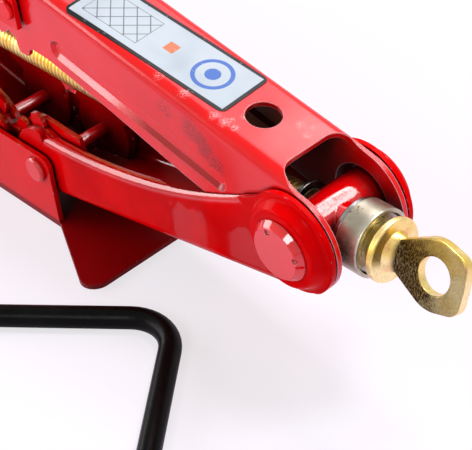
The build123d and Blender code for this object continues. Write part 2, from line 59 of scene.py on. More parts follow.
class Value:
    """A node socket that adds Math nodes when it is calculated with."""

    def __init__(self, graph: "Graph", socket: bpy.types.NodeSocket) -> None:
        """Wraps one output socket.

        Args:
            graph: The node graph that the socket is in.
            socket: The output socket.
        """
        self.graph = graph
        self.socket = socket

    def _math(self, operation: str, first: Any, second: Any) -> "Value":
        """One Math node on two values."""
        return self.graph.node("ShaderNodeMath", {"operation": operation}, {0: first, 1: second})

    def __add__(self, other: Any) -> "Value":
        """The sum."""
        return self._math("ADD", self, other)

    __radd__ = __add__

    def __mul__(self, other: Any) -> "Value":
        """The product."""
        return self._math("MULTIPLY", self, other)

    __rmul__ = __mul__

    def __sub__(self, other: Any) -> "Value":
        """The difference."""
        return self._math("SUBTRACT", self, other)

    def __rsub__(self, other: Any) -> "Value":
        """The difference from a number."""
        return self._math("SUBTRACT", other, self)

    def __abs__(self) -> "Value":
        """The size without its sign."""
        return self._math("ABSOLUTE", self, 0.0)

    def least(self, other: Any) -> "Value":
        """The smaller of two values."""
        return self._math("MINIMUM", self, other)

    def most(self, other: Any) -> "Value":
        """The larger of two values."""
        return self._math("MAXIMUM", self, other)

    def repeat(self, period: float) -> "Value":
        """The distance from the nearest multiple of a period."""
        return self._math("PINGPONG", self, 0.5 * period)

    def smooth(self, low: float, high: float) -> "Value":
        """A soft step from zero at low to one at high.

        Args:
            low: Where the step starts.
            high: Where it ends; below low, the step falls.

        Returns:
            The step's value.
        """
        settings = {"interpolation_type": "SMOOTHSTEP"}
        inputs = {"Value": self, "From Min": low, "From Max": high}
        return self.graph.node("ShaderNodeMapRange", settings, inputs)


class Graph:
    """The node graph of one material or surround."""

    rounding_samples: int = 6
    hollow_samples: int = 8
    edge_bend: Span = (0.99, 0.78)

    def __init__(self, owner: Union[bpy.types.Material, bpy.types.World]) -> None:
        """Starts an empty graph.

        Args:
            owner: The material or world that the graph belongs to.
        """
        self.owner = owner
        owner.use_nodes = True
        self.tree = owner.node_tree
        self.tree.nodes.clear()

    @classmethod
    def of_material(cls, name: str) -> "Graph":
        """A new material's graph."""
        return cls(bpy.data.materials.new(name))

    @cached_property
    def place(self) -> Value:
        """The object's own coordinates, in metres."""
        return self.node("ShaderNodeTexCoord", {}, {}, "Object")

    def ray(self, kind: str) -> Value:
        """One for a kind of ray, such as Camera, else zero."""
        return self.node("ShaderNodeLightPath", {}, {}, f"Is {kind} Ray")

    def lit_share(self, camera: float, mirrored: float) -> Value:
        """A share for direct sight, another for reflections and glass, and zero for other light.

        Args:
            camera: The share for direct sight.
            mirrored: The share for reflected and transmitted sight.

        Returns:
            The share.
        """
        reflected = self.ray("Glossy").most(self.ray("Transmission"))
        return (self.ray("Camera") * camera).most(reflected * mirrored)

    def node(
        self, kind: str, settings: dict[str, Any], inputs: dict[Key, Any], output: Key = 0
    ) -> Value:
        """Adds any node.

        Args:
            kind: The node's type.
            settings: Its own settings, set first.
            inputs: Values or links by socket name or number.
            output: The output socket to hand back.

        Returns:
            That output, wrapped.
        """
        made = self.tree.nodes.new(kind)
        for key, setting in settings.items():
            setattr(made, key, setting)
        for key, value in inputs.items():
            if isinstance(value, Value):
                self.tree.links.new(value.socket, made.inputs[key])
            else:
                made.inputs[key].default_value = value
        return Value(self, made.outputs[output])

    def vector(self, operation: str, first: Any, second: Any, output: Key = 0) -> Value:
        """One Vector Math node."""
        return self.node("ShaderNodeVectorMath", {"operation": operation}, {0: first, 1: second}, output)

    def part(self, vector: Value, axis: str) -> Value:
        """One coordinate of a vector, by its axis letter."""
        return self.node("ShaderNodeSeparateXYZ", {}, {0: vector}, axis)

    def mapped(
        self, scale: Triple = (1, 1, 1), turn: Triple = (0, 0, 0), centre: Triple = (0, 0, 0)
    ) -> Value:
        """Object coordinates about a centre, turned and scaled.

        Args:
            scale: The stretch along each turned axis.
            turn: The turn in degrees about X, Y and Z.
            centre: The point that becomes the origin, in metres.

        Returns:
            The vector.
        """
        moved = self.vector("SUBTRACT", self.place, centre)
        angles = tuple(math.radians(angle) for angle in turn)
        return self.node("ShaderNodeMapping", {}, {"Vector": moved, "Rotation": angles, "Scale": scale})

    def noise(
        self, scale: float, detail: float = 2.0, roughness: float = 0.5, where: Optional[Value] = None
    ) -> Value:
        """A noise pattern.

        Args:
            scale: Its scale per metre.
            detail: How many finer layers it has.
            roughness: How strong they are.
            where: The coordinates, or the object's own.

        Returns:
            The pattern, about a half.
        """
        inputs = {"Vector": where or self.place, "Scale": scale, "Detail": detail, "Roughness": roughness}
        return self.node("ShaderNodeTexNoise", {}, inputs)

    def away_from(self, centre: Triple) -> Value:
        """The distance from a point, in metres."""
        return self.vector("DISTANCE", self.place, centre, "Value")

    def mix(self, factor: Any, first: Any, second: Any) -> Value:
        """A mix of two colours.

        Args:
            factor: How much of the second.
            first: A colour or a link.
            second: A colour or a link.

        Returns:
            The mixed colour.
        """
        settings = {"data_type": "RGBA", "blend_type": "MIX", "clamp_factor": True}
        return self.node("ShaderNodeMix", settings, {0: factor, 6: first, 7: second}, 2)

    def bump(self, height: Value, depth: float, under: Optional[Value] = None) -> Value:
        """A bump of a height pattern.

        Args:
            height: The pattern, from zero to one.
            depth: Its depth in metres.
            under: A normal that the bump goes on.

        Returns:
            The bumped normal.
        """
        inputs: dict[Key, Any] = {"Height": height, "Distance": depth, "Strength": 1.0}
        if under is not None:
            inputs["Normal"] = under
        return self.node("ShaderNodeBump", {}, inputs, "Normal")

    def rounded(self, radius: float) -> Value:
        """A normal that rounds sharp edges by a radius in metres."""
        return self.node("ShaderNodeBevel", {"samples": self.rounding_samples}, {"Radius": radius}, "Normal")

    def recesses(self, reach: float) -> Value:
        """A mask of hollows: one where little light gets in, zero in the open."""
        settings = {"samples": self.hollow_samples, "only_local": False}
        return 1.0 - self.node("ShaderNodeAmbientOcclusion", settings, {"Distance": reach}, "AO")

    def edges(self, radius: float) -> Value:
        """A mask of sharp edges: one on an edge, zero on flat faces."""
        flat = self.node("ShaderNodeNewGeometry", {}, {}, "Normal")
        return self.vector("DOT_PRODUCT", flat, self.rounded(radius), "Value").smooth(*self.edge_bend)

    def shade(self, inputs: dict[Key, Any]) -> bpy.types.Material:
        """Closes the graph with a Principled shader.

        Args:
            inputs: The shader's values and links by socket name.

        Returns:
            The finished material.
        """
        return self.close(self.node("ShaderNodeBsdfPrincipled", {}, inputs, "BSDF"))

    def close(self, shader: Value) -> bpy.types.Material:
        """Links a shader to the material's output.

        Args:
            shader: The shader's output.

        Returns:
            The finished material.
        """
        kind = "World" if isinstance(self.owner, bpy.types.World) else "Material"
        made = self.tree.nodes.new(f"ShaderNodeOutput{kind}")
        self.tree.links.new(shader.socket, made.inputs["Surface"])
        return self.owner


@dataclass(frozen=True)
class Cloud:
    """A noise pattern cut to a soft mask."""

    scale: float
    low: float
    high: float
    detail: float = 2.0
    roughness: float = 0.5

    def mask(self, graph: Graph) -> Value:
        """Zero below the low level and one above the high one."""
        return graph.noise(self.scale, self.detail, self.roughness).smooth(self.low, self.high)


@dataclass(frozen=True)
class Scuff:
    """A ball-shaped place where paint is chipped, darkly specked or bright."""

    centre: Triple
    radius: float
    share: float = 0.5
    core: float = 0.2
    grain_lift: float = 0.2
    grain_edge: Span = (0.64, 0.68)
    waver: float = 2.2
    rim: float = 0.9

    def mask(self, graph: Graph, grain: Value) -> Value:
        """The scuffed grains in this place.

        Args:
            graph: The material's graph.
            grain: A noise pattern whose grains are taken.

        Returns:
            One on a scuffed grain, else zero.
        """
        near = graph.away_from(self.centre).smooth(self.radius, self.core * self.radius)
        return near * (grain + near * self.grain_lift * self.share).smooth(*self.grain_edge)

    def patch(self, graph: Graph, wobble: Value) -> Value:
        """The whole place with a wavering edge.

        Args:
            graph: The material's graph.
            wobble: A noise pattern that moves the edge.

        Returns:
            The place's share inside, else zero.
        """
        far = graph.away_from(self.centre) + (wobble - 0.5) * self.radius * self.waver
        return far.smooth(self.radius, self.rim * self.radius) * self.share


@dataclass(frozen=True)
class RedEnamel:
    """Gloss red enamel on pressed steel, with orange peel, dust, pale chips, pale edges that are part wear
    and part painted highlight, and painted shade in creases, hollows, the groove and near the floor.
    """

    name: str = "red_enamel"
    deep: Colour = colour(0.72, 0.0, 0.001)
    bright: Colour = colour(0.82, 0.0008, 0.002)
    # pale colour of chips, and of the edge line that is part wear and part painted highlight
    bare_and_edge_highlight: Colour = colour(0.86, 0.66, 0.66)
    # painted shade: a near-black red mixed in where little light gets in
    painted_shade_red: Colour = colour(0.035, 0.0, 0.001)
    # dark red of the specks and dust, also used as painted shade in the groove
    speck_and_shade_red: Colour = colour(0.33, 0.0, 0.0)
    tone: Cloud = Cloud(24.0, 0.35, 0.68, 3.0)
    dust: Cloud = Cloud(950.0, 0.72, 0.76, 1.0)
    dust_drift: Cloud = Cloud(60.0, 0.5, 0.62)
    dust_cover: float = 0.5
    chips: tuple[Scuff, ...] = ()
    chip_grain: Triple = (2500.0, 2.0, 0.6)
    chip_cover: float = 0.7
    chip_height: float = 0.5
    chip_dulling: float = 0.3
    specks: tuple[Scuff, ...] = ()
    speck_grain: Triple = (1300.0, 3.0, 0.7)
    speck_cover: float = 0.9
    gleams: tuple[Scuff, ...] = ()
    gleam_wobble: Triple = (70.0, 4.0, 0.6)
    top_coat: float = 0.0
    top_faces: Span = (0.12, 0.4)
    coat_end: Span = (0.172, 0.158)
    coat_roughness: float = 0.06
    groove: float = 0.0
    groove_middle: Triple = (0.18335, 0.0, 0.0693)
    groove_normal: Triple = (0.196, 0.0, 0.981)
    groove_side: Span = (0.0062, 0.005)
    groove_bright: Span = (0.105, 0.085)
    # how strong the painted shade on the groove's walls is
    groove_shade: float = 0.85
    wall_faces: Span = (0.25, 0.5)
    under_faces: Span = (-0.15, -0.45)
    gloss_noise: Span = (85.0, 3.0)
    gloss_spread: float = 0.12
    gloss: float = 0.12
    specular: float = 0.16
    edge_radius: float = 0.0007
    # how strong the pale edge line is: part wear, part painted highlight
    edge_wear_and_highlight: float = 0.45
    edge_scale: float = 380.0
    edge_cover: float = 0.6
    edge_step: float = 0.08
    dent: float = 0.0012
    dent_noise: Span = (22.0, 1.0)
    peel_fine: Span = (520.0, 1.0)
    peel_wide: Span = (140.0, 2.0)
    peel_share: float = 0.5
    peel_depth: float = 0.00005
    # painted shade in creases, deep hollows and on the foot near the floor
    crease_reach: float = 0.003
    crease_shade: Span = (0.22, 0.6)
    crease_cover: float = 0.7
    hollow_reach: float = 0.05
    hollow_shade: Span = (0.4, 0.8)
    hollow_cover: float = 0.96
    foot_height: float = 0.0
    foot_fade: float = 1.4
    foot_cover: float = 0.72
    # the paint is also rougher where the shade is painted
    painted_shade_dulling: float = 0.2

    def scuffed(self, graph: Graph, scuffs: tuple[Scuff, ...], grain: Value) -> Value:
        """All of the places in a list.

        Args:
            graph: The material's graph.
            scuffs: The places.
            grain: The noise pattern of their grains.

        Returns:
            Their mask.
        """
        mask = grain * 0.0
        for scuff in scuffs:
            mask = mask.most(scuff.mask(graph, grain))
        return mask

    def facing(self, graph: Graph) -> Value:
        """How far the surface faces upwards, from minus one to one."""
        return graph.part(graph.node("ShaderNodeTexCoord", {}, {}, "Normal"), "Z")

    def along(self, graph: Graph) -> Value:
        """The distance from the jack's middle along its screw."""
        return abs(graph.part(graph.place, "X"))

    def in_groove(self, graph: Graph) -> Value:
        """The pressed groove's strip along the right upper arm.

        Args:
            graph: The material's graph.

        Returns:
            The strip's mask.
        """
        moved = graph.vector("SUBTRACT", graph.place, self.groove_middle)
        away = abs(graph.vector("DOT_PRODUCT", moved, self.groove_normal, "Value"))
        return away.smooth(*self.groove_side) * self.groove

    def coat(self, graph: Graph) -> Value:
        """The clear coat, on upward faces and in the gleaming places of the cheeks.

        Args:
            graph: The material's graph.

        Returns:
            The coat's weight.
        """
        along, facing = self.along(graph), self.facing(graph)
        coat = facing.smooth(*self.top_faces) * along.smooth(*self.coat_end) * self.top_coat
        wall = self.in_groove(graph) * facing.smooth(*self.wall_faces)
        coat = coat.most(wall * along.smooth(*self.groove_bright))
        wobble = graph.noise(*self.gleam_wobble)
        for gleam in self.gleams:
            coat = coat.most(gleam.patch(graph, wobble))
        return coat

    def darkened(self, graph: Graph) -> Value:
        """Dark specks and dust on the paint, and painted shade on the groove's walls.

        Args:
            graph: The material's graph.

        Returns:
            Their mask.
        """
        dust = self.dust.mask(graph) * self.dust_drift.mask(graph)
        specks = self.scuffed(graph, self.specks, graph.noise(*self.speck_grain))
        specks = specks.most(dust * self.dust_cover)
        facing = self.facing(graph)
        # painted shade, not wear: the groove's upward walls away from its bright end, and its downward walls
        worn = facing.smooth(*self.wall_faces) * (1.0 - self.along(graph).smooth(*self.groove_bright))
        shaded = self.in_groove(graph) * worn.most(facing.smooth(*self.under_faces))
        return (specks * self.speck_cover).most(shaded * self.groove_shade)

    def painted_shade_mask(self, graph: Graph) -> Value:
        """Painted shade in creases and deep hollows, and on the foot near the floor.

        Args:
            graph: The material's graph.

        Returns:
            The painted shade's mask.
        """
        crease = graph.recesses(self.crease_reach).smooth(*self.crease_shade) * self.crease_cover
        hollow = graph.recesses(self.hollow_reach).smooth(*self.hollow_shade) * self.hollow_cover
        painted_shade = crease.most(hollow)
        if self.foot_height:
            low = graph.part(graph.place, "Z").smooth(self.foot_fade * self.foot_height, self.foot_height)
            painted_shade = painted_shade.most(low * self.foot_cover)
        return painted_shade

    def chipped(self, graph: Graph) -> Value:
        """Pale chips in the paint, and a pale line along the edges that is part wear and part painted
        highlight.

        Args:
            graph: The material's graph.

        Returns:
            The mask of the chips and the pale edge line.
        """
        # patchy cover of the pale edge line, part wear and part painted highlight
        worn = Cloud(self.edge_scale, self.edge_cover, self.edge_cover + self.edge_step)
        edge = graph.edges(self.edge_radius) * worn.mask(graph)
        chips = self.scuffed(graph, self.chips, graph.noise(*self.chip_grain)) * self.chip_cover
        return chips.most(edge * self.edge_wear_and_highlight)

    def material(self) -> bpy.types.Material:
        """Mixes the paint's layers and closes the shader.

        Returns:
            The finished material.
        """
        graph = Graph.of_material(self.name)
        painted_shade, chips = self.painted_shade_mask(graph), self.chipped(graph)
        paint = graph.mix(self.tone.mask(graph), self.deep, self.bright)
        # dark specks and dust, and painted shade on the groove's walls
        paint = graph.mix(self.darkened(graph), paint, self.speck_and_shade_red)
        # painted shade in creases, hollows and near the floor
        paint = graph.mix(painted_shade, paint, self.painted_shade_red)
        # pale chips, and the pale edge line that is partly a painted highlight
        paint = graph.mix(chips, paint, self.bare_and_edge_highlight)
        rough = graph.noise(*self.gloss_noise) * self.gloss_spread + self.gloss
        peel = graph.noise(*self.peel_fine) * self.peel_share
        peel = peel + graph.noise(*self.peel_wide) * self.peel_share
        normal = graph.bump(graph.noise(*self.dent_noise), self.dent, graph.rounded(self.edge_radius))
        return graph.shade(
            {
                "Base Color": paint,
                "Coat Weight": self.coat(graph),
                "Coat Roughness": self.coat_roughness,
                "Roughness": rough + chips * self.chip_dulling + painted_shade * self.painted_shade_dulling,
                "Specular IOR Level": self.specular,
                "Normal": graph.bump(peel - chips * self.chip_height, self.peel_depth, normal),
            }
        )


@dataclass(frozen=True)
class YellowZinc:
    """Yellow-passivated zinc plate, with a faint rainbow, drawn marks and stains."""

    name: str = "gold_plating"
    gold: Colour = colour(0.86, 0.6, 0.13)
    pale: Colour = colour(0.95, 0.8, 0.38)
    rose: Colour = colour(0.86, 0.44, 0.22)
    green: Colour = colour(0.62, 0.6, 0.16)
    stain: Colour = colour(0.022, 0.007, 0.0015)
    paler: Cloud = Cloud(55.0, 0.4, 0.62)
    rosy: Cloud = Cloud(130.0, 0.56, 0.72)
    rose_cover: float = 0.6
    greenish: Cloud = Cloud(95.0, 0.6, 0.74, 2.0, 0.4)
    green_cover: float = 0.5
    marks: Triple = (500.0, 2600.0, 500.0)
    mark_noise: Triple = (1.0, 3.0, 0.6)
    mark_stain: Span = (0.5, 0.72)
    stain_share: float = 0.22
    roughness: float = 0.22
    roughness_spread: float = 0.2
    depth: float = 0.00008
    edge_radius: float = 0.0005
    scale_marks: Triple = (2600.0, 2600.0, 520.0)
    scale_turn: Triple = (19.2, 38.0, 0.0)
    scale_noise: Triple = (1.0, 3.0, 0.65)
    scale_edge: Span = (0.6, 0.45)
    scale_spread: float = 0.2
    scale_cover: float = 0.8
    scale_dulling: float = 0.1

    def faces(self, graph: Graph) -> Optional[Value]:
        """A mask of faces that have darkened; none on plain pieces."""
        return None

    def material(self) -> bpy.types.Material:
        """Mixes the plate's tints, stains the darkened faces and closes the shader.

        Returns:
            The finished material.
        """
        graph = Graph.of_material(self.name)
        plate = graph.mix(self.paler.mask(graph), self.gold, self.pale)
        plate = graph.mix(self.rosy.mask(graph) * self.rose_cover, plate, self.rose)
        plate = graph.mix(self.greenish.mask(graph) * self.green_cover, plate, self.green)
        height = graph.noise(*self.mark_noise, graph.mapped(self.marks))
        stained = height.smooth(*self.mark_stain) * self.stain_share
        rough = height * self.roughness_spread + self.roughness
        faces = self.faces(graph)
        if faces is not None:
            grain = graph.noise(*self.scale_noise, graph.mapped(self.scale_marks, self.scale_turn))
            scale = grain.smooth(*self.scale_edge) * self.scale_spread + self.scale_cover
            stained = stained.most(faces * scale)
            rough = rough + faces * self.scale_dulling
            height = height + faces * grain
        return graph.shade(
            {
                "Base Color": graph.mix(stained, plate, self.stain),
                "Metallic": 1.0,
                "Roughness": rough,
                "Normal": graph.bump(height, self.depth, graph.rounded(self.edge_radius)),
            }
        )


@dataclass(frozen=True)
class ForgedZinc(YellowZinc):
    """Yellow zinc on a forged eye, whose flat faces are rough and brown."""

    centre: Triple = (0.23605, 0.0, 0.0693)
    normal: Triple = (0.0, -0.9444, 0.3289)
    face_depth: Span = (0.0017, 0.00205)
    face_start: Span = (-0.0188, -0.0168)
    brown_middle: Triple = (0.223, -0.006, 0.066)
    brown_reach: Span = (0.025, 0.010)
    brown_noise: Span = (160.0, 3.0)
    brown_waver: float = 0.012
    brown_share: float = 0.42

    def faces(self, graph: Graph) -> Optional[Value]:
        """The flat faces, by their distance from the eye's middle plane, browner near the neck.

        Args:
            graph: The material's graph.

        Returns:
            Their mask.
        """
        moved = graph.vector("SUBTRACT", graph.place, self.centre)
        height = abs(graph.vector("DOT_PRODUCT", moved, self.normal, "Value"))
        flat = height.smooth(*self.face_depth) * graph.part(moved, "X").smooth(*self.face_start)
        waver = graph.noise(*self.brown_noise) * self.brown_waver - 0.5 * self.brown_waver
        brown = (graph.away_from(self.brown_middle) + waver).smooth(*self.brown_reach)
        return flat * (brown * self.brown_share + (1.0 - self.brown_share))


@dataclass(frozen=True)
class BrightZinc:
    """Bright zinc plate with fine turning lines, a tarnish and brown spots."""

    name: str = "cup_plating"
    silver: Colour = colour(0.55, 0.53, 0.42)
    dull: Colour = colour(0.38, 0.34, 0.25)
    spot: Colour = colour(0.05, 0.025, 0.01)
    tarnish: Cloud = Cloud(120.0, 0.35, 0.7, 3.0)
    spots: Cloud = Cloud(750.0, 0.62, 0.68, 2.0, 0.6)
    spotted: Cloud = Cloud(110.0, 0.4, 0.6, 1.0)
    spot_metal_loss: float = 0.7
    spot_dulling: float = 0.3
    spot_height: float = 0.5
    lines: Triple = (4200.0, 160.0, 160.0)
    roughness: float = 0.27
    roughness_spread: float = 0.16
    depth: float = 0.00003
    edge_radius: float = 0.0005

    def material(self) -> bpy.types.Material:
        """Mixes the plate with its tarnish and spots and closes the shader.

        Returns:
            The finished material.
        """
        graph = Graph.of_material(self.name)
        spots = self.spots.mask(graph) * self.spotted.mask(graph)
        plate = graph.mix(self.tarnish.mask(graph), self.silver, self.dull)
        turned = graph.noise(1.0, where=graph.mapped(self.lines))
        rough = turned * self.roughness_spread + self.roughness
        height = turned - spots * self.spot_height
        return graph.shade(
            {
                "Base Color": graph.mix(spots, plate, self.spot),
                "Metallic": 1.0 - spots * self.spot_metal_loss,
                "Roughness": rough + spots * self.spot_dulling,
                "Normal": graph.bump(height, self.depth, graph.rounded(self.edge_radius)),
            }
        )


@dataclass(frozen=True)
class BlackEnamel:
    """Semi-gloss black enamel on a drawn bar, with a few rust pricks."""

    name: str = "black_enamel"
    black: Colour = colour(0.0006, 0.0006, 0.0006)
    worn: Colour = colour(0.003, 0.0025, 0.0025)
    rust: Colour = colour(0.07, 0.02, 0.01)
    wear: Cloud = Cloud(45.0, 0.4, 0.7, 3.0)
    pricks: Cloud = Cloud(700.0, 0.76, 0.8, 1.0)
    pricked: Cloud = Cloud(60.0, 0.5, 0.65)
    prick_dulling: float = 0.3
    gloss_scale: float = 150.0
    roughness: float = 0.24
    roughness_spread: float = 0.2
    specular: float = 0.07
    grain_scale: float = 420.0
    depth: float = 0.00008
    edge_radius: float = 0.0004

    def material(self) -> bpy.types.Material:
        """Mixes the paint with its wear and rust and closes the shader.

        Returns:
            The finished material.
        """
        graph = Graph.of_material(self.name)
        pricks = self.pricks.mask(graph) * self.pricked.mask(graph)
        paint = graph.mix(self.wear.mask(graph), self.black, self.worn)
        rough = graph.noise(self.gloss_scale) * self.roughness_spread + self.roughness
        grain = graph.noise(self.grain_scale)
        return graph.shade(
            {
                "Base Color": graph.mix(pricks, paint, self.rust),
                "Roughness": rough + pricks * self.prick_dulling,
                "Specular IOR Level": self.specular,
                "Normal": graph.bump(grain, self.depth, graph.rounded(self.edge_radius)),
            }
        )


@dataclass(frozen=True)
class LabelFilm:
    """A pale printed sticker: black border, blue rings, thin lattice and an orange square."""

    name: str = "sticker_print"
    centre: Triple = (0.0974, -0.0009, 0.112)
    slope: float = 11.3
    skew: float = 3.9
    half_length: float = 0.0435
    half_width: float = 0.0132
    border: float = 0.0016
    line: float = 0.0003
    softness: float = 0.4
    lattice: Span = (-0.038, -0.008)
    lattice_step: float = 0.0075
    lattice_margin: float = 3.2
    lattice_cover: float = 0.75
    ring_place: float = 0.026
    ring_radius: float = 0.0078
    ring_line: Span = (3.4, 2.6)
    dot_share: float = 0.42
    square_place: float = 0.004
    square_half: float = 0.0026
    colour_cover: float = 0.9
    film: Colour = colour(0.54, 0.61, 0.66)
    faded: Colour = colour(0.42, 0.49, 0.55)
    ink: Colour = colour(0.005, 0.005, 0.006)
    blue: Colour = colour(0.02, 0.12, 0.5)
    orange: Colour = colour(0.7, 0.16, 0.03)
    fading: Cloud = Cloud(40.0, 0.35, 0.7)
    rubs: Cloud = Cloud(700.0, 0.64, 0.7, 2.0, 0.6)
    rubbed: Cloud = Cloud(90.0, 0.52, 0.64)
    rub_cover: float = 0.5
    gloss_scale: float = 120.0
    roughness: float = 0.34
    roughness_spread: float = 0.2
    specular: float = 0.3
    grain_scale: float = 300.0
    depth: float = 0.00002

    def plan(self, graph: Graph) -> tuple[Value, ...]:
        """Lays the object's coordinates flat on the sticker.

        Args:
            graph: The material's graph.

        Returns:
            The distances along and across the sticker from its middle.
        """
        flat = graph.mapped(turn=(0, -self.slope, 0), centre=self.centre)
        turn = {"Vector": flat, "Rotation": (0, 0, math.radians(-self.skew))}
        flat = graph.node("ShaderNodeMapping", {}, turn)
        return tuple(graph.part(flat, axis) for axis in "XY")

    def lattice_mask(self, along: Value, across: Value) -> Value:
        """The thin crossed lines and the frame round them.

        Args:
            along: The distance along the sticker.
            across: The distance across it.

        Returns:
            One on a line, else zero.
        """
        soft = self.softness * self.line
        start, end = self.lattice
        field = abs(along - 0.5 * (start + end)) - 0.5 * (end - start)
        field = field.most(abs(across) - (self.half_width - self.lattice_margin * self.border))
        bars = (along + across).repeat(self.lattice_step).least((along - across).repeat(self.lattice_step))
        lines = bars.smooth(self.line + soft, self.line - soft).most(abs(field).smooth(self.line, 0.0))
        return lines * field.smooth(self.line, 0.0)

    def ring_mask(self, graph: Graph, along: Value, across: Value) -> Value:
        """The ring and the dot in it.

        Args:
            graph: The material's graph.
            along: The distance along the sticker.
            across: The distance across it.

        Returns:
            One on the ring or dot, else zero.
        """
        soft = self.softness * self.line
        outer, inner = (share * self.line for share in self.ring_line)
        dot = self.dot_share * self.ring_radius
        far = graph.node("ShaderNodeCombineXYZ", {}, {0: along - self.ring_place, 1: across})
        far = graph.vector("LENGTH", far, (0, 0, 0), "Value")
        ring = abs(far - self.ring_radius).smooth(outer, inner)
        return ring.most(far.smooth(dot + soft, dot - soft))

    def printed(self, graph: Graph) -> Value:
        """The sticker's colours.

        Args:
            graph: The material's graph.

        Returns:
            The printed colour.
        """
        along, across = self.plan(graph)
        soft = self.softness * self.line
        shown = graph.mix(self.fading.mask(graph), self.film, self.faded)
        shown = graph.mix(self.lattice_mask(along, across) * self.lattice_cover, shown, self.ink)
        shown = graph.mix(self.ring_mask(graph, along, across) * self.colour_cover, shown, self.blue)
        square = abs(along - self.square_place).most(abs(across)) - self.square_half
        shown = graph.mix(square.smooth(soft, -soft) * self.colour_cover, shown, self.orange)
        rim = (abs(along) - self.half_length).most(abs(across) - self.half_width) + self.border
        return graph.mix(rim.smooth(-soft, soft), shown, self.ink)

    def material(self) -> bpy.types.Material:
        """Rubs the print a little and closes the shader.

        Returns:
            The finished material.
        """
        graph = Graph.of_material(self.name)
        rubbed = self.rubs.mask(graph) * self.rubbed.mask(graph) * self.rub_cover
        return graph.shade(
            {
                "Base Color": graph.mix(rubbed, self.printed(graph), self.film),
                "Roughness": graph.noise(self.gloss_scale) * self.roughness_spread + self.roughness,
                "Specular IOR Level": self.specular,
                "Normal": graph.bump(graph.noise(self.grain_scale), self.depth),
            }
        )


UPPER_CHIPS = (
    Scuff((0.1098, -0.0143, 0.1093), 0.004, 0.5),
    Scuff((0.1231, -0.0136, 0.1067), 0.0045, 0.6),
    Scuff((0.1395, -0.0137, 0.1034), 0.004, 0.6),
    Scuff((0.1447, -0.0135, 0.1024), 0.004, 0.7),
    Scuff((0.1494, -0.0129, 0.1015), 0.003, 0.6),
    Scuff((0.1456, -0.0108, 0.1022), 0.0025, 0.6),
    Scuff((0.1473, -0.0063, 0.1019), 0.0025, 0.5),
    Scuff((0.1639, 0.0063, 0.0986), 0.004, 0.6),
    Scuff((0.1696, 0.0047, 0.0975), 0.0035, 0.6),
    Scuff((0.1679, 0.0085, 0.0978), 0.003, 0.5),
)
UPPER_SPECKS = (
    Scuff((0.1150, -0.0186, 0.0985), 0.009, 0.7),
    Scuff((0.1293, -0.0186, 0.0947), 0.010, 1.0),
    Scuff((0.1346, -0.0186, 0.0925), 0.009, 1.1),
    Scuff((0.1368, -0.0186, 0.0888), 0.010, 1.1),
    Scuff((0.1416, -0.0186, 0.0840), 0.010, 1.0),
)
LOWER_GLEAMS = (
    Scuff((0.1270, -0.0215, 0.0440), 0.014, 0.4),
    Scuff((0.1590, -0.0215, 0.0500), 0.013, 0.4),
    Scuff((0.1700, -0.0215, 0.0480), 0.012, 0.4),
)


class Finish(Enum):
    """The finishes that pieces of the jack come in."""

    RED = RedEnamel()
    # the foot is painted darker near the floor: painted shade
    RED_FOOT = RedEnamel("red_enamel_foot", foot_height=0.003)
    RED_UPPER = RedEnamel(
        "red_enamel_upper",
        chips=UPPER_CHIPS,
        specks=UPPER_SPECKS,
        groove=1.0,
        specular=0.4,
        # a nearly unbroken pale edge line on the upper arms: mostly painted highlight
        edge_wear_and_highlight=0.9,
        edge_cover=0.3,
    )
    RED_LOWER = RedEnamel(
        "red_enamel_lower",
        # deep and bright are darker than the other reds: painted shade on the lower arms
        deep=colour(0.54, 0.0, 0.001),
        bright=colour(0.76, 0.0006, 0.001),
        gleams=LOWER_GLEAMS,
        top_coat=1.0,
        specular=0.02,
    )
    RED_TURNED = RedEnamel("red_enamel_turned", specular=0.8, gloss=0.03, gloss_spread=0.03, dent=0.0)
    GOLD = YellowZinc()
    FORGED = ForgedZinc("forged_zinc", stain_share=0.35)
    SILVER = BrightZinc()
    STEEL = BrightZinc("dark_steel", colour(0.4, 0.38, 0.36), colour(0.24, 0.22, 0.2), roughness=0.16)
    BLACK = BlackEnamel()
    LABEL = LabelFilm()

    def material(self) -> bpy.types.Material:
        """The finish's material, made once."""
        return bpy.data.materials.get(self.value.name) or self.value.material()


def dress(name: str, finish: Finish) -> None:
    """Gives one carried-over piece a finish all over.

    Args:
        name: The node's name.
        finish: Its finish.
    """
    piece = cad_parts[name]
    piece.data.materials.clear()
    piece.data.materials.append(finish.material())
    LOG.info("%s: %s", name, finish.value.name)


class Workbench:
    """Edit-mode work on one mesh at a time."""

    @staticmethod
    def start(name: str, size: float) -> bpy.types.Object:
        """Adds a flat square to shape, in edit mode.

        Args:
            name: The piece's name.
            size: The square's side in metres.

        Returns:
            The new object.
        """
        bpy.ops.object.select_all(action="DESELECT")
        bpy.ops.mesh.primitive_plane_add(size=size, location=(0, 0, 0))
        piece = bpy.context.object
        piece.name = piece.data.name = name
        bpy.ops.object.mode_set(mode="EDIT")
        return piece

    @staticmethod
    def pick(piece: bpy.types.Object, chosen: Callable[[Vector], bool]) -> None:
        """Selects the points of a piece that pass a test, in edit mode.

        Args:
            piece: The object being edited.
            chosen: The test of a point's place.
        """
        bpy.ops.mesh.select_mode(type="VERT")
        bpy.ops.mesh.select_all(action="DESELECT")
        bpy.ops.object.mode_set(mode="OBJECT")
        for vertex in piece.data.vertices:
            vertex.select = chosen(vertex.co)
        bpy.ops.object.mode_set(mode="EDIT")


